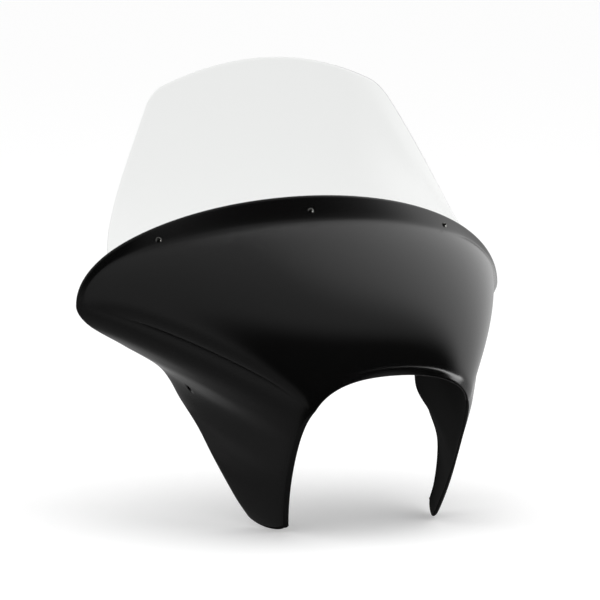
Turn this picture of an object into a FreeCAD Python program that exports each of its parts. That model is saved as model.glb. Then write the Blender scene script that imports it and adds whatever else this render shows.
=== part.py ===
# Batwing fairing: a formed shell that wraps round a headlight, with a clear windscreen
# screwed behind its top band.  Millimetres.  X runs across, the front faces -Y and Z is up.
# The origin lies midway between the two mounting holes, on the line that joins them.
import FreeCAD
import Part
import math
import os

Vector = FreeCAD.Vector

# Shell outline, right half
wing_half_width = 282.0
wing_tip_back = 63.0
wing_tip_height = 99.0
rim_back = 23.0
rim_height = 222.0
lip_reach = 220.0
lip_height = 34.0
corner_half_width = 98.0
corner_reach = 213.0
corner_drop = 2.0
heel_half_width = 121.0
heel_reach = 73.0
heel_drop = 143.0
toe_half_width = 95.0
toe_reach = 133.0
toe_drop = 151.0

# Shell wall, top band and rolled edges
wall = 3.5
band_depth = 37.0
band_tip_depth = 14.0
band_stand = 21.0
lip_turn = 8.0
corner_turn = 4.5
toe_turn = 3.0
heel_turn = 3.0
rear_turn = 1.4
lip_roll_depth = 11.3
toe_roll_depth = 6.3
foot_roll_depth = 7.0
heel_roll_depth = 6.0
panel_bulge = 10.0

# Windscreen
screen_thickness = 3.0
screen_gap = 2.5
screen_foot = 15.0
screen_rise_low = 40.0
screen_rise_high = 85.0
shoulder_back = 87.9
shoulder_height = 318.7
shoulder_half_width = 200.2
shoulder_sweep = 12.7
shoulder_drop = 60.1
screen_top_back = 125.4
screen_top_height = 381.3
screen_top_half_width = 153.5
screen_top_sweep = 9.8
screen_top_drop = 38.0
screen_top_radius = 14.0
screen_foot_radius = 8.0

# Screws, well nuts and mounting holes
screw_diameter = 4.0
screw_length = 18.0
screw_head_diameter = 7.6
screw_head_height = 2.2
screw_socket_flats = 2.5
screw_socket_depth = 1.3
screw_seat_clearance = 0.05
screw_hole_clearance = 0.25
thread_clearance = 0.05
well_nut_flange_diameter = 11.0
well_nut_body_diameter = 8.0
well_nut_tail = 7.0
well_nut_clearance = 0.15
mount_bolt_diameter = 6.0
mount_hole_clearance = 0.25

# Corners of the outline
wing_tip = Vector(wing_half_width, wing_tip_back, wing_tip_height)
rim_top = Vector(0.0, rim_back, rim_height)
lip_middle = Vector(0.0, -lip_reach, lip_height)
corner = Vector(corner_half_width, -corner_reach, -corner_drop)
heel = Vector(heel_half_width, -heel_reach, -heel_drop)
toe = Vector(toe_half_width, -toe_reach, -toe_drop)


def turned(angle, size):
    """A level step of the given size, from straight back at 0 degrees to inward at 90."""
    turn = math.radians(angle)
    return Vector(-math.sin(turn), math.cos(turn), 0.0) * size


# Rolled edges: how far the edge is carried in along the lip, down the leg and along its foot
lip_step = turned(0.0, lip_turn)
corner_step = turned(45.0, corner_turn)
toe_step = turned(70.0, toe_turn)
heel_step = turned(90.0, heel_turn)
rear_step = turned(90.0, rear_turn)
lip_roll = [lip_step, lip_step, corner_step, corner_step]
leg_roll = [corner_step, corner_step, toe_step, toe_step]
foot_roll = [heel_step, heel_step, toe_step * 0.4, toe_step * 0.4]
heel_flat = heel - heel_step - rear_step
toe_flat = toe - toe_step * 1.4


def step(start, end, x, y, z):
    """A step given as shares of the straight distance between two corners."""
    return Vector(x, y, z) * (end - start).Length


# Edge curves, each a cubic through its two ends with two handles
fold = Vector(0.0, 0.555, -0.832) * band_stand
rim = [
    rim_top,
    rim_top + step(rim_top, wing_tip, 0.5028, 0, 0),
    wing_tip + step(rim_top, wing_tip, 0, 0.0097, 0.2192),
    wing_tip,
]
face_top = [rim[0] + fold, rim[1] + fold, rim[2] + fold * 0.6, wing_tip]
lip = [
    lip_middle,
    lip_middle + step(lip_middle, corner, 0.5256, 0, 0),
    corner + step(lip_middle, corner, -0.0956, -0.1433, 0.2485),
    corner,
]
lip_flat = [lip[k] - lip_roll[k] for k in range(4)]
crease = [
    wing_tip,
    wing_tip + step(wing_tip, corner, -0.1644, -0.2076, -0.0317),
    corner + step(wing_tip, corner, 0.0923, 0.1413, 0.1096) - corner_step * 0.6,
    corner - corner_step,
]
front = [
    corner,
    corner + step(corner, toe, 0.0769, 0.1419, -0.1596),
    toe + step(corner, toe, 0.0887, -0.1833, 0.3665),
    toe,
]
front_flat = [front[0] - corner_step, front[1] - corner_step, front[2] - toe_step * 1.2, toe_flat]
bottom = [
    heel_flat,
    heel + step(heel, toe, -0.1214, -0.1973, -0.1973) - heel_step - rear_step * 0.4,
    toe + step(heel, toe, 0.1214, 0.2884, -0.1366) - toe_step,
    toe_flat,
]

# Rear trim of the side panel, from the wing tip past the hip to the heel
rear = [
    wing_tip,
    wing_tip + step(wing_tip, heel, -0.0436, -0.0031, -0.0748),
    wing_tip + step(wing_tip, heel, -0.1870, -0.0093, -0.1620),
    wing_tip + step(wing_tip, heel, -0.3303, -0.0156, -0.2524),
    wing_tip + step(wing_tip, heel, -0.3864, -0.0779, -0.3677) - rear_step * 0.3,
    heel + step(wing_tip, heel, 0.1059, 0.2119, 0.3054) - rear_step * 0.5,
    heel + step(wing_tip, heel, 0.0872, 0.0997, 0.1963) - rear_step * 0.7,
    heel_flat,
]

# Middle profile of the face, and how far the face swells out to the side
face_middle = [
    face_top[0],
    face_top[0] + step(face_top[0], lip_flat[0], 0, -0.2352, -0.0783),
    face_top[0] + step(face_top[0], lip_flat[0], 0, -0.5066, -0.2124),
    face_top[0] + step(face_top[0], lip_flat[0], 0, -0.7812, -0.3529),
    lip_flat[0],
]
face_swell = [
    Vector(0.0567, 0, 0) * wing_half_width,
    Vector(0.1560, -0.0142, 0.0213) * wing_half_width,
    Vector(0.2199, 0.0284, 0.0177) * wing_half_width,
    Vector(0.1064, 0.0355, -0.0567) * wing_half_width,
]
swell_share = [1.08, 1.08, 0.72]
bulge = Vector(0.8, -0.5, -0.3) * panel_bulge

# Sharpness of the band's bend and of the rolled edges
band_softness = 0.12
roll_softness = 0.45

# Where the screws sit: share of the way out to the wing, share of the way down the face
screw_row = 0.072
screw_places = [-0.463, 0.0, 0.463]


def bezier(points, t):
    """Point on the Bezier curve with the given control points."""
    level = list(points)
    while len(level) > 1:
        level = [a + (b - a) * t for a, b in zip(level, level[1:])]
    return level[0]


def raised(points, degree):
    """Control points of the same Bezier curve at a higher degree."""
    level = list(points)
    while len(level) <= degree:
        n = len(level)
        inner = [level[k - 1] * (k / n) + level[k] * (1 - k / n) for k in range(1, n)]
        level = [level[0]] + inner + [level[-1]]
    return level


def through(points, t):
    """Smooth curve through evenly spaced points, with natural ends."""
    last = len(points) - 1
    k = min(max(int(t * last), 0), last - 1)
    s = t * last - k

    def slope(i):
        if i == 0:
            return (points[1] * 4 - points[2] - points[0] * 3) * 0.5
        if i == last:
            return (points[last] * 3 - points[last - 1] * 4 + points[last - 2]) * 0.5
        return (points[i + 1] - points[i - 1]) * 0.5

    start = points[k] * (2 * s**3 - 3 * s**2 + 1) + slope(k) * (s**3 - 2 * s**2 + s)
    end = points[k + 1] * (3 * s**2 - 2 * s**3) + slope(k + 1) * (s**3 - s**2)
    return start + end


def hinge(t, width, softness):
    """One at t = 0, falling straight to zero at t = width, with a soft bend there."""

    def soft(x):
        return (x + math.sqrt(x * x + softness * softness)) / 2

    far = soft((width - 1) / width)
    return (soft((width - t) / width) - far) / (soft(1.0) - far)


# Bends as shares of the face, from their depths and the spacing of the control points
band_bend = band_depth / (4 * (face_middle[1] - face_middle[0]).Length)
band_tip_bend = band_tip_depth / (4 * (face_middle[1] - face_middle[0]).Length)
lip_bend = lip_roll_depth / (4 * (face_middle[4] - face_middle[3]).Length)
toe_bend = toe_roll_depth / (3 * (bottom[3] - bottom[2]).Length)
foot_bend = foot_roll_depth / (3 * (front[3] - front[2]).Length)
heel_bend = heel_roll_depth / (3 * (bottom[1] - bottom[0]).Length)


def face_net():
    """Control points of the face: its four edges blended, plus the swell."""
    top = raised(face_top, 5)
    low = raised(lip_flat, 5)
    side = raised(crease, 4)
    net = [top]
    for j in (1, 2, 3):
        a = j / 4
        row = [face_middle[j]]
        for i in (1, 2, 3, 4):
            b = i / 5
            across = face_middle[j] * (1 - b) + side[j] * b
            down = top[i] * (1 - a) + low[i] * a
            corners = (top[0] * (1 - b) + top[5] * b) * (1 - a) + (low[0] * (1 - b) + low[5] * b) * a
            row.append(across + down - corners + face_swell[i - 1] * swell_share[j - 1])
        row[1] = Vector(row[1].x, face_middle[j].y, face_middle[j].z)
        net.append(row + [side[j]])
    net.append(low)
    return net


net = face_net()


def mirrored(point):
    return Vector(-point.x, point.y, point.z)


def brow(u, v):
    """Outer face above the crease: u runs -1 to 1 across, v from the rim down to the lip."""
    if u < 0:
        return mirrored(brow(-u, v))
    face = bezier([bezier(row, u) for row in net], v)
    bend = band_tip_bend + (band_bend - band_tip_bend) / (1 + (u / 0.55) ** 8)
    band = (bezier(rim, u) - bezier(face_top, u)) * hinge(v, bend, band_softness)
    roll = bezier(lip_roll, u) * hinge(1 - v, lip_bend, roll_softness)
    return face + band + roll


def panel(u, v):
    """Outer face of the right leg: u runs from the rear trim to the front, v downward."""
    edges = bezier(crease, u) * (1 - v) + bezier(bottom, u) * v
    edges = edges + through(rear, v) * (1 - u) + bezier(front_flat, v) * u
    corners = (wing_tip * (1 - u) + crease[3] * u) * (1 - v) + (heel_flat * (1 - u) + toe_flat * u) * v
    swell = bulge * (16 * u * (1 - u) * v * (1 - v))
    front_bend = lip_bend + (toe_bend - lip_bend) * v
    rear_bend = heel_bend * (0.3 + 0.7 * v)
    roll = bezier(leg_roll, v) * hinge(1 - u, front_bend, roll_softness)
    roll = roll + bezier(foot_roll, u) * hinge(1 - v, foot_bend, roll_softness)
    roll = roll + rear_step * (v * v * hinge(u, rear_bend, roll_softness))
    return edges - corners + swell + roll


def slopes(surface, u, v):
    """Directions of a surface along its two parameters."""
    h = 1e-4
    along = surface(u + h, v) - surface(u - h, v)
    down = surface(u, v + h) - surface(u, v - h)
    return along, down


def brow_normal(u, v):
    along, down = slopes(brow, u, v)
    return down.cross(along).normalize()


def panel_normal(u, v):
    along, down = slopes(panel, u, v)
    return along.cross(down).normalize()


def spline_poles(points, params):
    """Poles of the cubic spline through the points at the given parameters."""
    curve = Part.BSplineCurve()
    curve.interpolate(Points=points, Parameters=params)
    return curve.getPoles()


def knots(params):
    """Multiplicities of a clamped cubic spline with a knot at each parameter."""
    return [4] + [1] * (len(params) - 2) + [4]


def grid_face(grid, us, vs):
    """One smooth face through a grid of points, grid[i][j] at us[i], vs[j]."""
    rows = [spline_poles(row, vs) for row in grid]
    columns = [spline_poles(list(column), us) for column in zip(*rows)]
    poles = [list(row) for row in zip(*columns)]
    face = Part.BSplineSurface()
    face.buildFromPolesMultsKnots(poles, knots(us), knots(vs), us, vs, False, False, 3, 3)
    return face.toShape()


def edge_face(outer, inner, params):
    """Narrow face that closes a wall between two edges."""
    poles = [spline_poles(outer, params), spline_poles(inner, params)]
    face = Part.BSplineSurface()
    face.buildFromPolesMultsKnots(poles, [2, 2], knots(params), [0, 1], params, False, False, 1, 3)
    return face.toShape()


def closed_solid(faces):
    """Solid inside a set of faces that meet edge to edge."""
    skin = Part.Shell(faces)
    skin.sewShape()
    solid = Part.Solid(skin)
    if solid.Volume < 0:
        solid.reverse()
    return solid


def mirror_grid(grid):
    return [[mirrored(point) for point in row] for row in grid]


# Sample lines: across the brow, along the crease, and down the panel
half_across = [0, 0.2, 0.4, 0.5, 0.6, 0.7, 0.8, 0.9, 1]
across = [-u for u in reversed(half_across[1:])] + half_across
band_lines = [0, 0.02, 0.035, 0.045, 0.055, 0.07, 0.09, 0.105, 0.12, 0.135, 0.16, 0.22]
roll_lines = [0.9, 0.935, 0.96, 0.98, 1]
along_crease = band_lines + [0.34, 0.5, 0.66, 0.8] + roll_lines
down_panel = [0, 0.1, 0.2, 0.3, 0.4, 0.5, 0.6, 0.7, 0.8, 0.88, 0.93, 0.955, 0.975, 1]


def fairing_shell():
    """Brow and two side panels as one wall, closed at every edge."""
    brow_out = [[brow(u, v) for v in along_crease] for u in across]
    brow_in = [[brow(u, v) - brow_normal(u, v) * wall for v in along_crease] for u in across]
    panel_out = [[panel(u, v) for v in down_panel] for u in along_crease]
    panel_in = [[panel(u, v) - panel_normal(u, v) * wall for v in down_panel] for u in along_crease]
    # Along the crease both inner faces end on the mitre line
    for k, s in enumerate(along_crease):
        first = brow_normal(1, s)
        second = panel_normal(s, 0)
        mitre = crease_point(s) - (first + second) * (wall / (1 + first.dot(second)))
        brow_in[-1][k] = mitre
        brow_in[0][k] = mirrored(mitre)
        panel_in[k][0] = mitre
    faces = [grid_face(brow_out, across, along_crease), grid_face(brow_in, across, along_crease)]
    for end in (0, -1):
        outer = [row[end] for row in brow_out]
        inner = [row[end] for row in brow_in]
        faces.append(edge_face(outer, inner, across))
    for outer, inner in ((panel_out, panel_in), (mirror_grid(panel_out), mirror_grid(panel_in))):
        faces.append(grid_face(outer, along_crease, down_panel))
        faces.append(grid_face(inner, along_crease, down_panel))
        for end in (0, -1):
            faces.append(edge_face(outer[end], inner[end], down_panel))
        faces.append(edge_face([row[-1] for row in outer], [row[-1] for row in inner], along_crease))
    return closed_solid(faces)


def crease_point(s):
    return panel(s, 0)


# Windscreen: the foot lies behind the band, the sheet rises from it and leans back
foot_share = 0.717
side_lean = 0.324
shoulder_middle = Vector(0.0, shoulder_back, shoulder_height)
top_middle = Vector(0.0, screen_top_back, screen_top_height)


def band_frame(u):
    """Place on the screw row, the way up the band, and the outward normal."""
    place = brow(u, screw_row)
    up = (brow(u, screw_row * 0.3) - place).normalize()
    return place, up, brow_normal(u, screw_row)


def screen(a, w):
    """Front face of the windscreen: a runs -1 to 1 across, w from the foot to the top."""
    place, up, outward = band_frame(a * foot_share)
    rise = up - Vector(side_lean * a, 0, 0)
    foot = place - outward * (wall + screen_gap) - up * (screen_foot * (1 - 0.75 * a * a))
    shoulder = shoulder_middle + Vector(shoulder_half_width * a, shoulder_sweep * a * a, -shoulder_drop * a * a)
    top = top_middle + Vector(screen_top_half_width * a, screen_top_sweep * a * a, -screen_top_drop * a * a)
    low = foot + rise * screen_rise_low
    high = foot + rise * screen_rise_high
    return bezier([foot, low, high, shoulder, top], w)


def screen_normal(a, w):
    along, up = slopes(screen, a, w)
    return along.cross(up).normalize()


def windscreen():
    """Bent sheet with rounded corners."""
    sides = [k / 4 for k in range(-4, 5)]
    ups = [k / 5 for k in range(6)]
    front_grid = [[screen(a, w) for w in ups] for a in sides]
    back_grid = [[screen(a, w) - screen_normal(a, w) * screen_thickness for w in ups] for a in sides]
    faces = [grid_face(front_grid, sides, ups), grid_face(back_grid, sides, ups)]
    for end in (0, -1):
        faces.append(edge_face(front_grid[end], back_grid[end], ups))
        faces.append(edge_face([row[end] for row in front_grid], [row[end] for row in back_grid], sides))
    sheet = closed_solid(faces)
    for radius, is_top in ((screen_top_radius, True), (screen_foot_radius, False)):
        short = [edge for edge in sheet.Edges if edge.Length < 2 * screen_thickness]
        ends = [edge for edge in short if (edge.CenterOfMass.z > rim_height) == is_top]
        sheet = sheet.makeFillet(radius, ends)
    return sheet


def bar(place, direction, start, end, radius):
    """Round bar along a direction, between two distances from a place."""
    return Part.makeCylinder(radius, end - start, place + direction * start, direction)


def screw(place, outward):
    """Button head screw with a hexagon socket, seated on the band."""
    radius = screw_head_diameter / 2
    shank = screw_diameter / 2
    seat = screw_seat_clearance
    top = seat + screw_head_height
    low = seat - screw_length
    dome = (radius**2 + screw_head_height**2) / (2 * screw_head_height)
    lean = math.asin(radius / dome) / 2
    middle = Vector(dome * math.sin(lean), 0, top - dome + dome * math.cos(lean))
    crown = Part.Arc(Vector(radius, 0, seat), middle, Vector(0, 0, top)).toShape()
    corners = [(0, top), (0, low), (shank, low), (shank, seat), (radius, seat)]
    sides = Part.makePolygon([Vector(x, 0, z) for x, z in corners])
    turned_body = Part.Face(Part.Wire(sides.Edges + [crown])).revolve(Vector(), Vector(0, 0, 1), 360)
    spoke = screw_socket_flats / math.sqrt(3)
    turns = [math.radians(60 * k) for k in range(7)]
    base = top - screw_socket_depth
    hexagon = Part.makePolygon([Vector(spoke * math.cos(t), spoke * math.sin(t), base) for t in turns])
    socket = Part.Face(hexagon).extrude(Vector(0, 0, 2 * screw_socket_depth))
    part = turned_body.cut(socket)
    part.Placement = FreeCAD.Placement(place, FreeCAD.Rotation(Vector(0, 0, 1), outward))
    return part


def well_nut(place, outward, shell, sheet):
    """Rubber well nut: a flange between band and screen, a body through the screen, a bulged tail."""
    start = -(wall + screen_gap + screen_thickness + well_nut_tail)
    plug = bar(place, outward, start, -wall / 2, well_nut_flange_diameter / 2)
    plug = plug.cut(shell).cut(sheet)
    ends = sorted(plug.Solids, key=lambda solid: (solid.CenterOfMass - place).dot(outward))
    tail, flange = ends[0], ends[-1]
    low = (tail.CenterOfMass - place).dot(outward)
    high = (flange.CenterOfMass - place).dot(outward)
    body = bar(place, outward, low, high, well_nut_body_diameter / 2)
    bore = bar(place, outward, start - 1, 1, screw_diameter / 2 + thread_clearance)
    return tail.fuse([body, flange]).cut(bore)


# Assembly: blanks first, then the fixings fitted to them, then the holes
shell = fairing_shell()
sheet = windscreen()
places = [band_frame(u) for u in screw_places]
screws = [screw(place, outward) for place, up, outward in places]
nuts = [well_nut(place, outward, shell, sheet) for place, up, outward in places]

reach = wing_half_width + wall
mount_hole = mount_bolt_diameter / 2 + mount_hole_clearance
shell_holes = [Part.makeCylinder(mount_hole, 2 * reach, Vector(-reach, 0, 0), Vector(1, 0, 0))]
sheet_holes = []
for place, up, outward in places:
    shell_holes.append(bar(place, outward, -2 * wall, wall, screw_diameter / 2 + screw_hole_clearance))
    depth = wall + screen_gap + 3 * screen_thickness
    sheet_holes.append(bar(place, outward, -depth, 0, well_nut_body_diameter / 2 + well_nut_clearance))
shell = shell.cut(shell_holes)
sheet = sheet.cut(sheet_holes)

os.makedirs("parts", exist_ok=True)
shell.exportStep("parts/fairing_shell.step")
sheet.exportStep("parts/windscreen.step")
Part.makeCompound(screws).exportStep("parts/screen_screws.step")
Part.makeCompound(nuts).exportStep("parts/screen_well_nuts.step")
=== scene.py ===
import bmesh
import bpy
import math
import numpy as np
from mathutils import Matrix, Vector


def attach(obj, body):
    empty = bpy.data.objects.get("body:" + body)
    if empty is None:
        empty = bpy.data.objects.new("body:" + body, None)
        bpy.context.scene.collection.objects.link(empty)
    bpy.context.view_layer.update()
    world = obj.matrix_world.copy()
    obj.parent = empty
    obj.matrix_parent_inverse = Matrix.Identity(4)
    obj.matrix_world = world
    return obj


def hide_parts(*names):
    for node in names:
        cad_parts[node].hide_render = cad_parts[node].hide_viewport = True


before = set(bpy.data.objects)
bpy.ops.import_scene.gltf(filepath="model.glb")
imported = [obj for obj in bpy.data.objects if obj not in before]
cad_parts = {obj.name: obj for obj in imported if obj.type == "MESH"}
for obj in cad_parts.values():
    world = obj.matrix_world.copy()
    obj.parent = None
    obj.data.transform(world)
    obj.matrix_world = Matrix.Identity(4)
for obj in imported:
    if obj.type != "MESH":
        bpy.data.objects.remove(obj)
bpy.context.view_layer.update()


def point(*xyz):
    """A place or a step, as an array."""
    return np.array(xyz, dtype=float)


def length(vectors):
    """Length of every vector."""
    return np.linalg.norm(vectors, axis=-1)


def unit(vectors):
    """Every vector divided by its length."""
    return vectors / np.linalg.norm(vectors, axis=-1, keepdims=True)


def mix(start, end, share):
    """From the start toward the end by a share of the way."""
    return start + (end - start) * share


# Shell: corners of the right half, what mirrors it to the left, and the way across
WING_TIP = point(282, 63, 99)
RIM_TOP = point(0, 23, 222)
LIP_MIDDLE = point(0, -220, 34)
CORNER = point(98, -213, -2)
HEEL = point(121, -73, -143)
TOE = point(95, -133, -151)
MIRROR = point(-1, 1, 1)
SIDEWAYS = point(1, 0, 0)

# Shell: wall, top band (deep in the middle, narrowing at a share of the half width) and rolled edges
WALL = 3.5
BAND_DEPTH = 37.0
BAND_TIP_DEPTH = 14.0
BAND_NARROWS = 0.55
BAND_STAND = 21.0
BAND_SOFTNESS = 0.12
LIP_ROLL_DEPTH = 11.3
TOE_ROLL_DEPTH = 6.3
FOOT_ROLL_DEPTH = 7.0
HEEL_ROLL_DEPTH = 6.0
REAR_ROLL_START = 0.3
ROLL_SOFTNESS = 0.45
PANEL_BULGE = 10.0

# Rounding of cut edges: reach outward, depth into the wall, and the flat that stays between front and back
EDGE_ROUND = 1.5
RIM_REACH = 5.0
RIM_DEPTH = 3.2
LEG_REACH = 6.0
LEG_DEPTH = 3.0
FLAT_LEFT = 0.1
# Power by which the rounding grows along an edge, and points in a rounding and in a turn round a corner
EASE_POWER = 6
ROUND_STEPS = 6
TURN_STEPS = 7
# Share of the parameter over which grid lines make room for a rounded edge
EDGE_ZONE = 0.04
LEG_FRONT_ZONE = 0.2

# Fixings: the screw row on the band, and the two mounting holes on the line through the origin
SCREW_ROW = 0.072
SCREW_PLACES = (-0.463, 0.0, 0.463)
SCREW_HOLE_RADIUS = 2.25
WELL_NUT_HOLE_RADIUS = 4.15
MOUNT_HOLE_RADIUS = 3.25
MOUNT_GUESS = (0.25, 0.5)
NEWTON_STEPS = 20

# Windscreen: sheet, corners, and about how many millimetres of sheet go to a unit of each parameter
SCREEN_THICKNESS = 3.0
SCREEN_EDGE_ROUND = 1.2
SCREEN_TOP_RADIUS = 14.0
SCREEN_FOOT_RADIUS = 8.0
SCREEN_ACROSS_SPEED = 175.0
SCREEN_UP_SPEED = 290.0
# Its foot: spread over the brow, gap to the wall, drop below the screw row and share of it lost at the sides
FOOT_SPREAD = 0.717
FOOT_HALF_WIDTH = 205.0
FOOT_GAP = 2.5
FOOT_DROP = 15.0
FOOT_DROP_LOST = 0.75
# How it rises: up the band, by a look from the screw row to a share of its depth, leaning in at the sides,
# and then by the shoulder to the top edge
BAND_LOOK = 0.3
SIDE_LEAN = 0.324
RISE_HANDLES = (40.0, 85.0)
SHOULDER = point(0, 87.9, 318.7)
SHOULDER_HALF_WIDTH = 200.2
SHOULDER_SWEEP = point(0, 12.7, -60.1)
SCREEN_TOP = point(0, 125.4, 381.3)
SCREEN_TOP_HALF_WIDTH = 153.5
SCREEN_TOP_SWEEP = point(0, 9.8, -38.0)

# Grid lines: across the brow, down the legs, over the screen, and along the crease so many up to each mark
BROW_LINES = 161
LEG_LINES = 71
SCREEN_ACROSS_LINES = 161
SCREEN_UP_LINES = 111
CREASE_MARKS = (0.0, 0.06, 0.2, 0.88, 1.0)
CREASE_COUNTS = (0, 24, 45, 90, 108)
HOLE_LINES = np.array([-2, -1, -0.5, 0, 0.5, 1, 2])
HOLE_CLEARANCE = 3.2

# Finishes of the shell, in the order of its materials; the second is dull, with its gleam almost off as
# painted shade
GLOSS, DULL_AND_SHADED = 0, 1


def turned(angle, size):
    """Level step of a size: straight back at 0 degrees, inward at 90."""
    turn = math.radians(angle)
    return point(-math.sin(turn), math.cos(turn), 0) * size


# Rolled edges: how far each stretch of edge is stepped in
LIP_STEP = turned(0, 8.0)
CORNER_STEP = turned(45, 4.5)
TOE_STEP = turned(70, 3.0)
HEEL_STEP = turned(90, 3.0)
REAR_STEP = turned(90, 1.4)
LIP_ROLL = [LIP_STEP, LIP_STEP, CORNER_STEP, CORNER_STEP]
LEG_ROLL = [CORNER_STEP, CORNER_STEP, TOE_STEP, TOE_STEP]
FOOT_ROLL = [HEEL_STEP, HEEL_STEP, TOE_STEP * 0.4, TOE_STEP * 0.4]

# Edges of the right half as control points, each set off from a corner; a flat edge is one without its roll.
# Without its band the face would end a fold below the rim
FOLD = point(0, 0.555, -0.832) * BAND_STAND
RIM = [RIM_TOP, RIM_TOP + point(156, 0, 0), WING_TIP + point(0, 3, 68), WING_TIP]
FACE_TOP = [RIM[0] + FOLD, RIM[1] + FOLD, RIM[2] + FOLD * 0.6, WING_TIP]
LIP = [LIP_MIDDLE, LIP_MIDDLE + point(55, 0, 0), CORNER + point(-10, -15, 26), CORNER]
LIP_FLAT = [edge - step for edge, step in zip(LIP, LIP_ROLL)]
CREASE = [
    WING_TIP,
    WING_TIP + point(-57, -72, -11),
    CORNER + point(32, 49, 38) - CORNER_STEP * 0.6,
    CORNER - CORNER_STEP,
]
FRONT = [CORNER, CORNER + point(13, 24, -27), TOE + point(15, -31, 62), TOE]
HEEL_FLAT = HEEL - HEEL_STEP - REAR_STEP
TOE_FLAT = TOE - TOE_STEP * 1.4
FRONT_FLAT = [FRONT[0] - CORNER_STEP, FRONT[1] - CORNER_STEP, FRONT[2] - TOE_STEP * 1.2, TOE_FLAT]
BOTTOM = [
    HEEL_FLAT,
    HEEL + point(-8, -13, -13) - HEEL_STEP - REAR_STEP * 0.4,
    TOE + point(8, 19, -9) - TOE_STEP,
    TOE_FLAT,
]
REAR = np.array([
    WING_TIP,
    WING_TIP + point(-14, -1, -24),
    WING_TIP + point(-60, -3, -52),
    WING_TIP + point(-106, -5, -81),
    WING_TIP + point(-124, -25, -118) - REAR_STEP * 0.3,
    HEEL + point(34, 68, 98) - REAR_STEP * 0.5,
    HEEL + point(28, 32, 63) - REAR_STEP * 0.7,
    HEEL_FLAT,
])

# Face between them: its middle line, and how far it swells across and down
FACE_MIDDLE = [FACE_TOP[0], point(0, -39, 180), point(0, -124, 138), point(0, -210, 94), LIP_FLAT[0]]
FACE_SWELL = [point(16, 0, 0), point(44, -4, 6), point(62, 8, 5), point(30, 10, -16)]
SWELL_SHARE = [1.08, 1.08, 0.72]
NET_ACROSS = len(FACE_SWELL) + 1
NET_DOWN = len(SWELL_SHARE) + 1
BULGE = point(0.8, -0.5, -0.3) * PANEL_BULGE


def bend_width(depth, curve):
    """Share of a Bezier curve's parameter that a depth at its start takes.

    The depth is divided by the speed there, which is the degree times the first leg."""
    degree = len(curve) - 1
    return depth / (degree * length(curve[1] - curve[0]))


BAND_BEND = bend_width(BAND_DEPTH, FACE_MIDDLE)
BAND_TIP_BEND = bend_width(BAND_TIP_DEPTH, FACE_MIDDLE)
LIP_BEND = bend_width(LIP_ROLL_DEPTH, FACE_MIDDLE[::-1])
TOE_BEND = bend_width(TOE_ROLL_DEPTH, BOTTOM[::-1])
FOOT_BEND = bend_width(FOOT_ROLL_DEPTH, FRONT[::-1])
HEEL_BEND = bend_width(HEEL_ROLL_DEPTH, BOTTOM)


def bezier(points, t):
    """Bezier curve at every t: neighbouring control points are mixed by t until one is left."""
    t = np.asarray(t, dtype=float)[..., None]
    level = [np.asarray(p, dtype=float) for p in points]
    while len(level) > 1:
        level = [mix(a, b, t) for a, b in zip(level, level[1:])]
    return level[0]


def raised(points, degree):
    """Control points of the same Bezier curve at a higher degree: k/n of one and 1 - k/n of the next."""
    level = list(points)
    while len(level) <= degree:
        n = len(level)
        inner = [level[k - 1] * (k / n) + level[k] * (1 - k / n) for k in range(1, n)]
        level = [level[0]] + inner + [level[-1]]
    return level


def through(points, t):
    """Cubic pieces through evenly spaced points, each slope half the step between the two neighbours."""
    tangents = np.empty_like(points)
    tangents[1:-1] = (points[2:] - points[:-2]) / 2
    tangents[0] = (4 * points[1] - points[2] - 3 * points[0]) / 2
    tangents[-1] = (3 * points[-1] - 4 * points[-2] + points[-3]) / 2
    last = len(points) - 1
    t = np.asarray(t, dtype=float)
    k = np.clip((t * last).astype(int), 0, last - 1)
    s = (t * last - k)[..., None]
    start = points[k] * (2 * s**3 - 3 * s**2 + 1) + tangents[k] * (s**3 - 2 * s**2 + s)
    end = points[k + 1] * (3 * s**2 - 2 * s**3) + tangents[k + 1] * (s**3 - s**2)
    return start + end


def hinge(t, width, softness):
    """One at t = 0 falling straight to zero at t = width; a square root rounds the bend."""

    def soft(x):
        """Zero below and x above, with a rounded bend between."""
        return (x + np.sqrt(x * x + softness**2)) / 2

    far = soft((width - 1) / width)
    return ((soft((width - t) / width) - far) / (soft(1.0) - far))[..., None]


def face_net():
    """Control net of the face: top, lip, middle and crease blended by Coons' rule, plus the swell."""
    top = raised(FACE_TOP, NET_ACROSS)
    low = raised(LIP_FLAT, NET_ACROSS)
    side = raised(CREASE, NET_DOWN)
    net = [top]
    for j in range(1, NET_DOWN):
        a = j / NET_DOWN
        row = [FACE_MIDDLE[j]]
        for i in range(1, NET_ACROSS):
            b = i / NET_ACROSS
            across = mix(FACE_MIDDLE[j], side[j], b)
            down = mix(top[i], low[i], a)
            corners = mix(mix(top[0], top[-1], b), mix(low[0], low[-1], b), a)
            row.append(across + down - corners + FACE_SWELL[i - 1] * SWELL_SHARE[j - 1])
        # Level with the middle point, so that the two halves meet without a ridge
        row[1][1:] = FACE_MIDDLE[j][1:]
        net.append(row + [side[j]])
    net.append(low)
    return net


FACE_NET = face_net()


def brow(u, v):
    """Face above the crease, u -1 to 1 across and v from rim to lip.

    Bezier patch of the face, plus the band lifted by a hinge at the top and the lip rolled by one below.
    The band's width goes from the middle's to the tip's as 1 / (1 + (u / BAND_NARROWS)^8)."""
    half = np.abs(u)
    face = bezier([bezier(row, half) for row in FACE_NET], v)
    bend = mix(BAND_TIP_BEND, BAND_BEND, 1 / (1 + (half / BAND_NARROWS) ** 8))
    band = (bezier(RIM, half) - bezier(FACE_TOP, half)) * hinge(v, bend, BAND_SOFTNESS)
    roll = bezier(LIP_ROLL, half) * hinge(1 - v, LIP_BEND, ROLL_SOFTNESS)
    side = np.where(np.asarray(u) < 0, -1.0, 1.0)[..., None]
    return (face + band + roll) * (side * SIDEWAYS + point(0, 1, 1))


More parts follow.
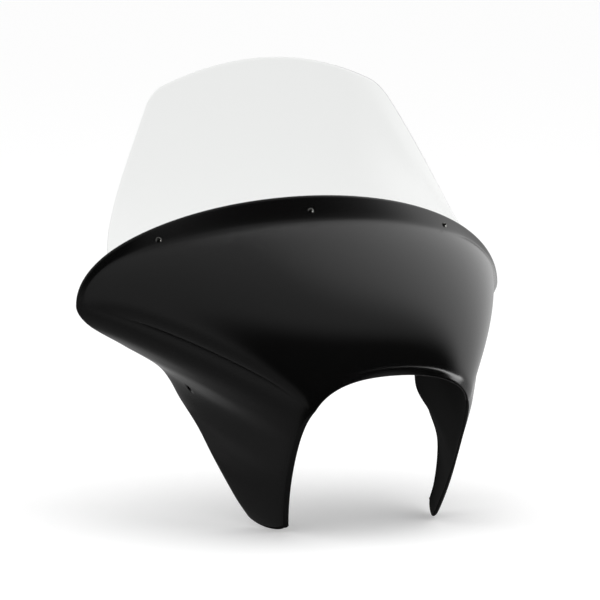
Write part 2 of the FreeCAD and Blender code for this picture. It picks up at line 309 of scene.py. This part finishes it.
def panel(u, v):
    """Right leg, u from rear trim to front and v downward.

    Coons patch of its four edges, plus a bulge 16 u(1-u) v(1-v) and hinges that roll its edges in."""
    u, v = np.asarray(u), np.asarray(v)
    a, b = u[..., None], v[..., None]
    edges = mix(bezier(CREASE, u), bezier(BOTTOM, u), b)
    edges = edges + mix(through(REAR, v), bezier(FRONT_FLAT, v), a)
    corners = mix(mix(WING_TIP, CREASE[-1], a), mix(HEEL_FLAT, TOE_FLAT, a), b)
    swell = BULGE * (16 * a * (1 - a) * b * (1 - b))
    roll = bezier(LEG_ROLL, v) * hinge(1 - u, mix(LIP_BEND, TOE_BEND, v), ROLL_SOFTNESS)
    roll = roll + bezier(FOOT_ROLL, u) * hinge(1 - v, FOOT_BEND, ROLL_SOFTNESS)
    roll = roll + REAR_STEP * b**2 * hinge(u, HEEL_BEND * mix(REAR_ROLL_START, 1, v), ROLL_SOFTNESS)
    return edges - corners + swell + roll


def slopes(surface, u, v):
    """Directions along the two parameters, per unit of each, by central differences."""
    h = 1e-4
    along = (surface(u + h, v) - surface(u - h, v)) / (2 * h)
    down = (surface(u, v + h) - surface(u, v - h)) / (2 * h)
    return along, down


def brow_normal(u, v):
    """Outward direction of the brow, across both its slopes."""
    along, down = slopes(brow, u, v)
    return unit(np.cross(down, along))


def panel_normal(u, v):
    """Outward direction of the right leg, across both its slopes."""
    along, down = slopes(panel, u, v)
    return unit(np.cross(along, down))


def screen(a, w):
    """Front of the windscreen, a -1 to 1 across and w from foot to top.

    Quartic Bezier from a foot behind the band, up along the band, over the shoulder to the top edge;
    shoulder and top sweep back and drop with the square of a."""
    a, w = np.broadcast_arrays(np.asarray(a, dtype=float), np.asarray(w, dtype=float))
    row = np.full_like(a, SCREW_ROW)
    across = a * FOOT_SPREAD
    out, back = a[..., None] * SIDEWAYS, (a**2)[..., None]
    place = brow(across, row)
    up = unit(brow(across, row * BAND_LOOK) - place)
    drop = FOOT_DROP * (1 - FOOT_DROP_LOST * back)
    foot = place - brow_normal(across, row) * (WALL + FOOT_GAP) - up * drop
    rise = up - SIDE_LEAN * out
    shoulder = SHOULDER + out * SHOULDER_HALF_WIDTH + back * SHOULDER_SWEEP
    top = SCREEN_TOP + out * SCREEN_TOP_HALF_WIDTH + back * SCREEN_TOP_SWEEP
    return bezier([foot] + [foot + handle * rise for handle in RISE_HANDLES] + [shoulder, top], w)


def screen_normal(a, w):
    """Forward direction of the screen, across both its slopes."""
    along, up = slopes(screen, a, w)
    return unit(np.cross(along, up))


def with_hole_lines(lines, holes):
    """Grid lines with five close lines at each hole and one easing line on either side of them."""
    lines = np.asarray(lines, dtype=float)
    for centre, step in holes:
        lines = lines[np.abs(lines - centre) > HOLE_CLEARANCE * step]
        lines = np.concatenate([lines, centre + step * HOLE_LINES])
    return np.sort(lines)


def square_to_disc(x, y):
    """Square from -1 to 1 drawn to the unit disc: x sqrt(1 - y^2/2), y sqrt(1 - x^2/2)."""
    return x * np.sqrt(1 - y**2 / 2), y * np.sqrt(1 - x**2 / 2)


def drawn_round(surface, u, v, centre, radius, axis):
    """Moves the 5 by 5 grid points at a hole so that their outline is a circle about the axis.

    A square of steps is drawn to a disc across the axis, and turned back into u, v by the slopes.
    Returns the index of the middle point."""
    i = int(np.argmin(np.abs(u[:, 0] - centre[0])))
    j = int(np.argmin(np.abs(v[0] - centre[1])))
    along, down = slopes(surface, *centre)
    axis = unit(axis)
    first = unit(along - axis * (along @ axis))
    second = np.cross(axis, first)
    matrix = np.array([[first @ along, first @ down], [second @ along, second @ down]])
    across = np.linspace(-1, 1, 5)
    x, y = square_to_disc(*np.meshgrid(across, across, indexing="ij"))
    turn = 1.0 if matrix[1, 1] > 0 else -1.0
    disc = np.stack([x, turn * y]) * radius
    steps = np.linalg.solve(matrix, disc.reshape(2, -1)).reshape(2, 5, 5)
    u[i - 2:i + 3, j - 2:j + 3] = centre[0] + steps[0]
    v[i - 2:i + 3, j - 2:j + 3] = centre[1] + steps[1]
    return i, j


def border(grid):
    """Points round the border of a grid, once round and back to the first."""
    return np.concatenate([grid[:-1, 0], grid[-1, :-1], grid[:0:-1, -1], grid[0, ::-1]])


def hole_wall(outer, inner, i, j):
    """Wall of a hole, from the sixteen points round it on one face to those on the other."""
    return np.stack([border(face[i - 2:i + 3, j - 2:j + 3]) for face in (outer, inner)])


def rounded_edge(outer, inner, outward, reach, front, back):
    """Edge of a wall: two quarter ellipses carried along it, one from each face.

    Each goes reach sin t outward, and its front or back depth times 1 - cos t into the wall."""
    turn = np.linspace(0, math.pi / 2, ROUND_STEPS)[:, None, None]
    out = reach * np.sin(turn) * outward
    inward = (1 - np.cos(turn)) * unit(inner - outer)
    return np.concatenate([outer + out + front * inward, (inner + out - back * inward)[::-1]])


class Skin:
    """Grids of points gathered into one mesh, with shared edges merged."""

    MERGE_DISTANCE = 1e-5

    def __init__(self):
        self.points = []
        self.quads = []
        self.finishes = []
        self.count = 0

    def add(self, grid, holes=(), finish=GLOSS):
        """A grid of points becomes quads of one finish; the four by four quads at each hole are left out."""
        n, m = grid.shape[:2]
        index = np.arange(n * m).reshape(n, m) + self.count
        keep = np.ones((n - 1, m - 1), dtype=bool)
        for i, j in holes:
            keep[i - 2:i + 2, j - 2:j + 2] = False
        quads = np.stack([index[:-1, :-1], index[1:, :-1], index[1:, 1:], index[:-1, 1:]], axis=-1)
        self.quads.append(quads[keep])
        self.finishes.append(np.full(keep.sum(), finish))
        self.points.append(grid.reshape(-1, 3))
        self.count += n * m

    def mesh(self, name, *materials):
        """Mesh object in metres with smooth faces pointing outward; points that no quad uses are dropped."""
        quads = np.concatenate(self.quads)
        used, index = np.unique(quads, return_inverse=True)
        data = bpy.data.meshes.new(name)
        data.from_pydata(np.concatenate(self.points)[used] / 1000, [], index.reshape(quads.shape))
        for material in materials:
            data.materials.append(material)
        data.polygons.foreach_set("material_index", np.concatenate(self.finishes).astype(np.int32))
        work = bmesh.new()
        work.from_mesh(data)
        bmesh.ops.remove_doubles(work, verts=work.verts, dist=self.MERGE_DISTANCE)
        bmesh.ops.recalc_face_normals(work, faces=work.faces)
        work.to_mesh(data)
        work.free()
        data.polygons.foreach_set("use_smooth", np.ones(len(data.polygons), dtype=bool))
        piece = bpy.data.objects.new(name, data)
        bpy.context.scene.collection.objects.link(piece)
        return piece


def mount_centre():
    """Where the line along X through the origin meets the panel, by Newton's steps in u and v."""
    spot = np.array(MOUNT_GUESS)
    for _ in range(NEWTON_STEPS):
        along, down = slopes(panel, *spot)
        gap = panel(*spot)[1:]
        spot = spot - np.linalg.solve(np.stack([along[1:], down[1:]], axis=1), gap)
    return spot


def eased(t, before, after, zone):
    """Parameter pulled in over a zone at both ends, so that a rounded edge has room."""
    return t + before * np.clip(1 - t / zone, 0, None) - after * np.clip(1 - (1 - t) / zone, 0, None)


def shell_lines(mount):
    """Grid lines across the brow, along the crease (shared by brow and legs) and down the legs."""
    mount_speed = [length(direction) for direction in slopes(panel, *mount)]
    screw_speed = [[length(direction) for direction in slopes(brow, u, SCREW_ROW)] for u in SCREW_PLACES]
    screws_across = [(u, SCREW_HOLE_RADIUS / speed[0]) for u, speed in zip(SCREW_PLACES, screw_speed)]
    screws_down = (SCREW_ROW, SCREW_HOLE_RADIUS / screw_speed[1][1])
    mount_across = (mount[0], MOUNT_HOLE_RADIUS / mount_speed[0])
    mount_down = (mount[1], MOUNT_HOLE_RADIUS / mount_speed[1])
    along_crease = np.interp(np.arange(CREASE_COUNTS[-1] + 1), CREASE_COUNTS, CREASE_MARKS)
    brow_lines = with_hole_lines(np.linspace(-1, 1, BROW_LINES), screws_across)
    crease_lines = with_hole_lines(along_crease, [screws_down, mount_across])
    leg_lines = with_hole_lines(np.linspace(0, 1, LEG_LINES), [mount_down])
    return brow_lines, crease_lines, leg_lines


def add_brow(skin, brow_lines, crease_lines):
    """Outer and inner face of the brow, its rim, its lip and the walls of the screw holes.

    Returns the line along the right crease on which the inner faces of brow and leg meet."""
    u, v = np.meshgrid(brow_lines, crease_lines, indexing="ij")
    rim_speed = length(slopes(brow, brow_lines, np.zeros_like(brow_lines))[1])[:, None]
    lip_speed = length(slopes(brow, brow_lines, np.ones_like(brow_lines))[1])[:, None]
    # The rim is rolled over more than the other edges, and eases to them at the wing tips
    inboard = 1 - np.abs(brow_lines[:, None]) ** EASE_POWER
    rim_reach = mix(EDGE_ROUND, RIM_REACH, inboard)
    rim_front = mix(EDGE_ROUND, RIM_DEPTH, inboard)
    rim_back = np.minimum(EDGE_ROUND, WALL - FLAT_LEFT - rim_front)
    v = eased(v, rim_reach / rim_speed, EDGE_ROUND / lip_speed, EDGE_ZONE)
    holes = []
    for place in SCREW_PLACES:
        axis = brow_normal(place, SCREW_ROW)
        holes.append(drawn_round(brow, u, v, (place, SCREW_ROW), SCREW_HOLE_RADIUS, axis))
    outer = brow(u, v)
    inner = outer - WALL * brow_normal(u, v)
    # Mitre: one wall in from both faces, along the sum of their normals
    along = v[-1]
    brow_side = brow_normal(np.ones_like(along), along)
    leg_side = panel_normal(along, np.zeros_like(along))
    facing = np.sum(brow_side * leg_side, axis=-1, keepdims=True)
    mitre = outer[-1] - (brow_side + leg_side) * WALL / (1 + facing)
    inner[-1] = mitre
    inner[0] = mitre * MIRROR
    down = unit(slopes(brow, u, v)[1])
    skin.add(outer, holes)
    # Inner face in the dull black with its gleam almost off: painted shade inside the shell
    skin.add(inner, holes, DULL_AND_SHADED)
    for hole in holes:
        skin.add(hole_wall(outer, inner, *hole))
    skin.add(rounded_edge(outer[:, 0], inner[:, 0], -down[:, 0], rim_reach, rim_front, rim_back))
    skin.add(rounded_edge(outer[:, -1], inner[:, -1], down[:, -1], EDGE_ROUND, EDGE_ROUND, EDGE_ROUND))
    return mitre


def add_legs(skin, crease_lines, leg_lines, mount, mitre):
    """Right leg and its mirror image: outer and inner face, edge and wall of the mounting hole."""
    u, v = np.meshgrid(crease_lines, leg_lines, indexing="ij")
    rear_speed = length(slopes(panel, np.zeros_like(leg_lines), leg_lines)[0])
    front_speed = length(slopes(panel, np.ones_like(leg_lines), leg_lines)[0])
    foot_speed = length(slopes(panel, crease_lines, np.ones_like(crease_lines))[1])
    # The front is rounded more and more below the crease, and the foot less and less to the heel
    grown = 1 - (1 - leg_lines) ** EASE_POWER
    front_reach = mix(EDGE_ROUND, LEG_REACH, grown)
    foot_reach = mix(EDGE_ROUND, LEG_REACH, crease_lines)
    u = eased(u, EDGE_ROUND / rear_speed, front_reach / front_speed, mix(EDGE_ZONE, LEG_FRONT_ZONE, grown))
    v = eased(v, 0.0, (foot_reach / foot_speed)[:, None], EDGE_ZONE)
    hole = drawn_round(panel, u, v, mount, MOUNT_HOLE_RADIUS, SIDEWAYS)
    outer = panel(u, v)
    inner = outer - WALL * panel_normal(u, v)
    inner[:, 0] = mitre
    along, down = [unit(direction) for direction in slopes(panel, u, v)]
    # Edge path: down the rear trim, round the heel, along the foot, round the toe, up the front
    fan = np.linspace(0, 1, TURN_STEPS)[1:-1, None]
    stay = np.ones_like(fan)
    heel_turn = unit(mix(-along[0, -1], down[0, -1], fan))
    toe_turn = unit(mix(down[-1, -1], along[-1, -1], fan))
    outer_edge, inner_edge = [
        np.concatenate([face[0], stay * face[0, -1], face[:, -1], stay * face[-1, -1], face[-1, ::-1]])
        for face in (outer, inner)
    ]
    outward = np.concatenate([-along[0], heel_turn, down[:, -1], toe_turn, along[-1, ::-1]])
    rear_reach = np.full(len(leg_lines) + len(fan), EDGE_ROUND)
    toe_reach = np.full(len(fan), LEG_REACH)
    reach = np.concatenate([rear_reach, foot_reach, toe_reach, front_reach[::-1]])[:, None]
    front = mix(EDGE_ROUND, LEG_DEPTH, (reach - EDGE_ROUND) / (LEG_REACH - EDGE_ROUND))
    back = np.minimum(EDGE_ROUND, WALL - FLAT_LEFT - front)
    edge = rounded_edge(outer_edge, inner_edge, outward, reach, front, back)
    wall = hole_wall(outer, inner, *hole)
    for side in (np.ones(3), MIRROR):
        skin.add(outer * side, [hole])
        # Inner face and leg edge in the dull black with its gleam almost off: painted shade
        skin.add(inner * side, [hole], DULL_AND_SHADED)
        skin.add(edge * side, finish=DULL_AND_SHADED)
        skin.add(wall * side)


def shell_piece(gloss, dull):
    """Brow and both legs in one skin; the dull material, with its gleam almost off, paints shade on the
    inside and on the leg edges.
    """
    mount = mount_centre()
    brow_lines, crease_lines, leg_lines = shell_lines(mount)
    skin = Skin()
    mitre = add_brow(skin, brow_lines, crease_lines)
    add_legs(skin, crease_lines, leg_lines, mount, mitre)
    return skin.mesh("formed_shell", gloss, dull)


def well_nut_spot(place):
    """Where the axis of a screw meets the screen, by Newton's steps in a and w; gives the axis too."""
    base, axis = brow(place, SCREW_ROW), brow_normal(place, SCREW_ROW)
    first = unit(np.cross(axis, SIDEWAYS))
    aside = np.stack([first, np.cross(axis, first)])
    spot = np.array([place / FOOT_SPREAD, SCREW_ROW])
    for _ in range(NEWTON_STEPS):
        along, up = slopes(screen, *spot)
        gap = screen(*spot) - base
        spot = spot - np.linalg.solve(aside @ np.stack([along, up], axis=1), aside @ gap)
    return spot, axis


def with_round_corners(a, w):
    """Screen grid whose corner squares are each drawn to a quarter disc."""
    top = (SCREEN_TOP_RADIUS, SCREEN_TOP_HALF_WIDTH, True)
    foot = (SCREEN_FOOT_RADIUS, FOOT_HALF_WIDTH, False)
    for radius, half_width, at_top in (top, foot):
        reach_a, reach_w = radius / half_width, radius / SCREEN_UP_SPEED
        height = w if at_top else 1 - w
        x = np.clip((np.abs(a) - 1 + reach_a) / reach_a, 0, 1)
        y = np.clip((height - 1 + reach_w) / reach_w, 0, 1)
        in_corner = (x > 0) & (y > 0)
        x, y = square_to_disc(x, y)
        height = 1 - reach_w + reach_w * y
        a = np.where(in_corner, np.sign(a) * (1 - reach_a + reach_a * x), a)
        w = np.where(in_corner, height if at_top else 1 - height, w)
    return a, w


def screen_piece(material):
    """Bent sheet with rounded corners, polished edges and the three well nut holes."""
    spots, axes = zip(*[well_nut_spot(place) for place in SCREW_PLACES])
    speeds = [[length(direction) for direction in slopes(screen, *spot)] for spot in spots]
    holes_across = [(spot[0], WELL_NUT_HOLE_RADIUS / speed[0]) for spot, speed in zip(spots, speeds)]
    holes_up = [(np.mean([spot[1] for spot in spots]), WELL_NUT_HOLE_RADIUS / speeds[1][1])]
    across_lines = with_hole_lines(np.linspace(-1, 1, SCREEN_ACROSS_LINES), holes_across)
    up_lines = with_hole_lines(np.linspace(0, 1, SCREEN_UP_LINES), holes_up)
    a, w = with_round_corners(*np.meshgrid(across_lines, up_lines, indexing="ij"))
    # Drawn in all round, so that the rounded edge has room
    a = a * (1 - SCREEN_EDGE_ROUND / SCREEN_ACROSS_SPEED)
    w = 0.5 + (w - 0.5) * (1 - 2 * SCREEN_EDGE_ROUND / SCREEN_UP_SPEED)
    holes = [drawn_round(screen, a, w, spot, WELL_NUT_HOLE_RADIUS, axis) for spot, axis in zip(spots, axes)]
    front, normal = screen(a, w), screen_normal(a, w)
    back = front - SCREEN_THICKNESS * normal
    loop = border(front)[:-1]
    ahead = np.roll(loop, -1, axis=0) - np.roll(loop, 1, axis=0)
    outward = unit(np.cross(ahead, border(normal)[:-1]))
    outward = np.concatenate([outward, outward[:1]])
    edge_sizes = [SCREEN_EDGE_ROUND] * 3
    skin = Skin()
    skin.add(front, holes)
    skin.add(back, holes)
    for hole in holes:
        skin.add(hole_wall(front, back, *hole))
    skin.add(rounded_edge(border(front), border(back), outward, *edge_sizes))
    return skin.mesh("bent_screen", material)


def linear(hex_colour):
    """sRGB hex to linear RGBA."""
    parts = [int(hex_colour[k:k + 2], 16) / 255 for k in (1, 3, 5)]
    parts = [c / 12.92 if c <= 0.04045 else ((c + 0.055) / 1.055) ** 2.4 for c in parts]
    return (*parts, 1.0)


def add_node(tree, kind, settings=None, links=()):
    """A node with its settings or input values, and its incoming links."""
    node = tree.nodes.new(kind)
    for name, value in (settings or {}).items():
        if isinstance(name, int) or name in node.inputs:
            node.inputs[name].default_value = value
        else:
            setattr(node, name, value)
    for source, target in links:
        tree.links.new(source, node.inputs[target])
    return node


def material_named(name, colour, values):
    """New Principled material with its base colour and other input values."""
    material = bpy.data.materials.new(name)
    material.use_nodes = True
    inputs = material.node_tree.nodes["Principled BSDF"].inputs
    inputs["Base Color"].default_value = linear(colour)
    for socket, value in values.items():
        inputs[socket].default_value = value
    return material


def formed_abs():
    # Black ABS sheet, vacuum formed over a smooth tool: a deep black with a clear gloss
    return material_named("Black ABS, vacuum formed", "#070707", {"Roughness": 0.16, "IOR": 1.54})


def shaded_sheet_back():
    # Back and trimmed leg edges of the same sheet, which never meet the tool: dull black (real), with the
    # gleam turned almost off, which is painted shade that keeps the inside of the shell and the leg edges
    # dark
    values = {"Roughness": 0.7, "Specular IOR Level": 0.04}
    return material_named("Black ABS, dull back and trimmed edges, painted shade", "#141414", values)


def clear_acrylic():
    # Cast acrylic sheet, heat bent and polished at its edges: clear, and faintly grey against white
    values = {"Roughness": 0.02, "IOR": 1.49, "Transmission Weight": 1.0}
    return material_named("Clear acrylic, heat bent", "#f0f1f0", values)


def blackened_steel():
    # Socket button screws, cold headed and black oxide finished: dark metal with small bright glints
    return material_named("Black oxide steel, cold headed", "#868683", {"Metallic": 1.0, "Roughness": 0.18})


def moulded_rubber():
    # Neoprene well nuts, moulded: dull black
    return material_named("Neoprene rubber, moulded", "#161616", {"Roughness": 0.7})


shell = shell_piece(formed_abs(), shaded_sheet_back())
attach(shell, "root")
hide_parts("fairing_shell")

sheet = screen_piece(clear_acrylic())
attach(sheet, "root")
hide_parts("windscreen")

for node_name, finish, slot_name in (
    ("screen_screws", blackened_steel(), "screws"),
    ("screen_well_nuts", moulded_rubber(), "well_nuts"),
):
    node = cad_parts[node_name]
    node.data.materials.clear()
    node.data.materials.append(finish)

# Studio, in metres. Levels are strengths of light, where 1 is white
FLOOR_HEIGHT = -0.1565
FLOOR_HALF_SIZE = 30.0
FLOOR_LIFT = 0.15
FILL_LEVEL = 0.85
ROOM_LEVEL = 0.25
GROUND_LEVEL = 0.13
BACKDROP_LEVEL = 0.4
BACKDROP_FOOT_SHARE = 0.7
WINDOW_LEVEL = 1.1
LAMP_LEVEL = 8.0
# The reflected room by direction: where each thing starts to show along an axis, and where it shows in full
ROOM_BEHIND = (-0.32, 0.0)
ROOM_ABOVE_GROUND = (-0.4, 0.15)
BACKDROP_TOP = (0.45, 0.1)
BACKDROP_FOOT = (-0.4, -0.05)
BACKDROP_SIDES = (0.65, 0.95)
WINDOW_RIGHT = (0.25, 1.0)
WINDOW_FRONT = (-0.85, -0.5)
WINDOW_TOP = (-1.1, -0.6)
WINDOW_TOP_SLANT = -1.2
LAMP_FOOT = (0.0, 0.04)
LAMP_TOP = (0.14, 0.10)
LAMP_LEFT = (0.44, 0.60)
LAMP_RIGHT = (0.92, 0.80)
LAMP_FRONT = (-0.2, -0.4)
# Overhead softbox
SOFTBOX_PLACE = (0.6, -0.4, 3.0)
SOFTBOX_SIZE = 2.4
SOFTBOX_WATTS = 26.0
# Camera: degrees round to the side and above, far off with a long lens
CAMERA_TURN = -25.0
CAMERA_FALL = 7.3
CAMERA_PLACE = point(-2.0249, -4.3033, 0.7061)
CAMERA_LENS = 240.0
CAMERA_SENSOR = 36.0
CAMERA_REACH = 100.0


def studio_floor():
    """Flat white floor just below the part; to the eye it is lifted a little toward pure white."""
    low, high = -FLOOR_HALF_SIZE, FLOOR_HALF_SIZE
    corners = [(x, y, FLOOR_HEIGHT) for x, y in ((low, low), (high, low), (high, high), (low, high))]
    data = bpy.data.meshes.new("floor")
    data.from_pydata(corners, [], [(0, 1, 2, 3)])
    values = {"Roughness": 1.0, "Specular IOR Level": 0.0, "Emission Color": (1, 1, 1, 1)}
    paint = material_named("White floor, matt paint", "#fbfbfb", values)
    tree = paint.node_tree
    rays = add_node(tree, "ShaderNodeLightPath").outputs
    either = [(rays["Is Camera Ray"], 0), (rays["Is Transmission Ray"], 1)]
    seen = add_node(tree, "ShaderNodeMath", {"operation": "MAXIMUM"}, either)
    lift = add_node(tree, "ShaderNodeMath", {"operation": "MULTIPLY", 1: FLOOR_LIFT}, [(seen.outputs[0], 0)])
    tree.links.new(lift.outputs[0], tree.nodes["Principled BSDF"].inputs["Emission Strength"])
    data.materials.append(paint)
    floor = bpy.data.objects.new("floor", data)
    floor.visible_glossy = False
    bpy.context.scene.collection.objects.link(floor)


def studio_world():
    """White all round to the eye and through the screen, and a plain even fill for matt surfaces.

    Reflections show the room: dim, dark in front and toward the ground, brighter and brighter toward a
    window wall on the right, with a pale backdrop low down behind and one long lamp in front."""
    world = bpy.data.worlds.new("studio")
    world.use_nodes = True
    tree = world.node_tree
    heading = add_node(tree, "ShaderNodeTexCoord")
    axes = add_node(tree, "ShaderNodeSeparateXYZ", links=[(heading.outputs["Generated"], "Vector")])
    x, y, z = axes.outputs

    def ramp(source, start, end, low=0.0, high=1.0, curve="SMOOTHSTEP"):
        """From low to high while the source goes from start to end."""
        values = {"From Min": start, "From Max": end, "To Min": low, "To Max": high}
        settings = {"interpolation_type": curve, **values}
        return add_node(tree, "ShaderNodeMapRange", settings, [(source, "Value")]).outputs[0]

    def joined(operation, first, second):
        """One operation on two values."""
        links = [(first, 0), (second, 1)]
        return add_node(tree, "ShaderNodeMath", {"operation": operation}, links).outputs[0]

    def product(first, *others):
        """All the values multiplied."""
        for other in others:
            first = joined("MULTIPLY", first, other)
        return first

    room = product(ramp(y, *ROOM_BEHIND), ramp(z, *ROOM_ABOVE_GROUND, GROUND_LEVEL, ROOM_LEVEL))
    backdrop_top = ramp(z, *BACKDROP_TOP, 0.0, BACKDROP_LEVEL)
    backdrop_foot = ramp(z, *BACKDROP_FOOT, BACKDROP_FOOT_SHARE, 1.0)
    backdrop = product(ramp(y, *BACKDROP_SIDES), backdrop_top, backdrop_foot)
    slant_values = {"operation": "MULTIPLY_ADD", 1: WINDOW_TOP_SLANT}
    slant = add_node(tree, "ShaderNodeMath", slant_values, [(z, 0), (y, 2)]).outputs[0]
    window_right = ramp(x, *WINDOW_RIGHT, 0.0, WINDOW_LEVEL, "LINEAR")
    window = product(window_right, ramp(y, *WINDOW_FRONT), ramp(slant, *WINDOW_TOP))
    lamp_height = product(ramp(z, *LAMP_FOOT), ramp(z, *LAMP_TOP))
    lamp_length = product(ramp(x, *LAMP_LEFT), ramp(x, *LAMP_RIGHT))
    lamp = product(lamp_height, lamp_length, ramp(y, *LAMP_FRONT, 0.0, LAMP_LEVEL))
    reflected = joined("ADD", joined("MAXIMUM", room, backdrop), joined("ADD", window, lamp))
    rays = add_node(tree, "ShaderNodeLightPath").outputs
    plain = ramp(rays["Is Diffuse Ray"], 0.0, 1.0, 1.0, FILL_LEVEL, "LINEAR")
    shine = joined("SUBTRACT", rays["Is Glossy Ray"], rays["Is Transmission Ray"])
    parts = [(shine, "Factor"), (plain, "A"), (reflected, "B")]
    level = add_node(tree, "ShaderNodeMix", {"data_type": "FLOAT"}, parts)
    background = tree.nodes["Background"]
    background.inputs["Color"].default_value = (1, 1, 1, 1)
    tree.links.new(level.outputs[0], background.inputs["Strength"])
    bpy.context.scene.world = world


def overhead_softbox():
    """Flat soft lamp that faces the origin and is not seen itself."""
    lamp = bpy.data.lights.new("overhead softbox", "AREA")
    lamp.shape = "SQUARE"
    lamp.size = SOFTBOX_SIZE
    lamp.energy = SOFTBOX_WATTS
    box = bpy.data.objects.new("overhead softbox", lamp)
    box.location = SOFTBOX_PLACE
    box.rotation_euler = (-Vector(SOFTBOX_PLACE)).to_track_quat("-Z", "Y").to_euler()
    box.visible_camera = False
    box.visible_glossy = False
    box.visible_transmission = False
    bpy.context.scene.collection.objects.link(box)


def photo_camera():
    """Camera level across, turned to the side and looking down."""
    turn, fall = math.radians(CAMERA_TURN), math.radians(CAMERA_FALL)
    right = point(math.cos(turn), math.sin(turn), 0)
    ahead = point(-math.sin(turn), math.cos(turn), 0)
    forward = ahead * math.cos(fall) - point(0, 0, math.sin(fall))
    upward = np.cross(right, forward)
    lens = bpy.data.cameras.new("camera")
    lens.sensor_fit = "HORIZONTAL"
    lens.sensor_width = CAMERA_SENSOR
    lens.lens = CAMERA_LENS
    lens.clip_end = CAMERA_REACH
    camera = bpy.data.objects.new("camera", lens)
    axes = np.stack([right, upward, -forward, CAMERA_PLACE], axis=1)
    camera.matrix_world = Matrix([*axes.tolist(), (0, 0, 0, 1)])
    bpy.context.scene.collection.objects.link(camera)
    bpy.context.scene.camera = camera


studio_floor()
studio_world()
overhead_softbox()
photo_camera()
bpy.context.scene.view_settings.view_transform = "Standard"
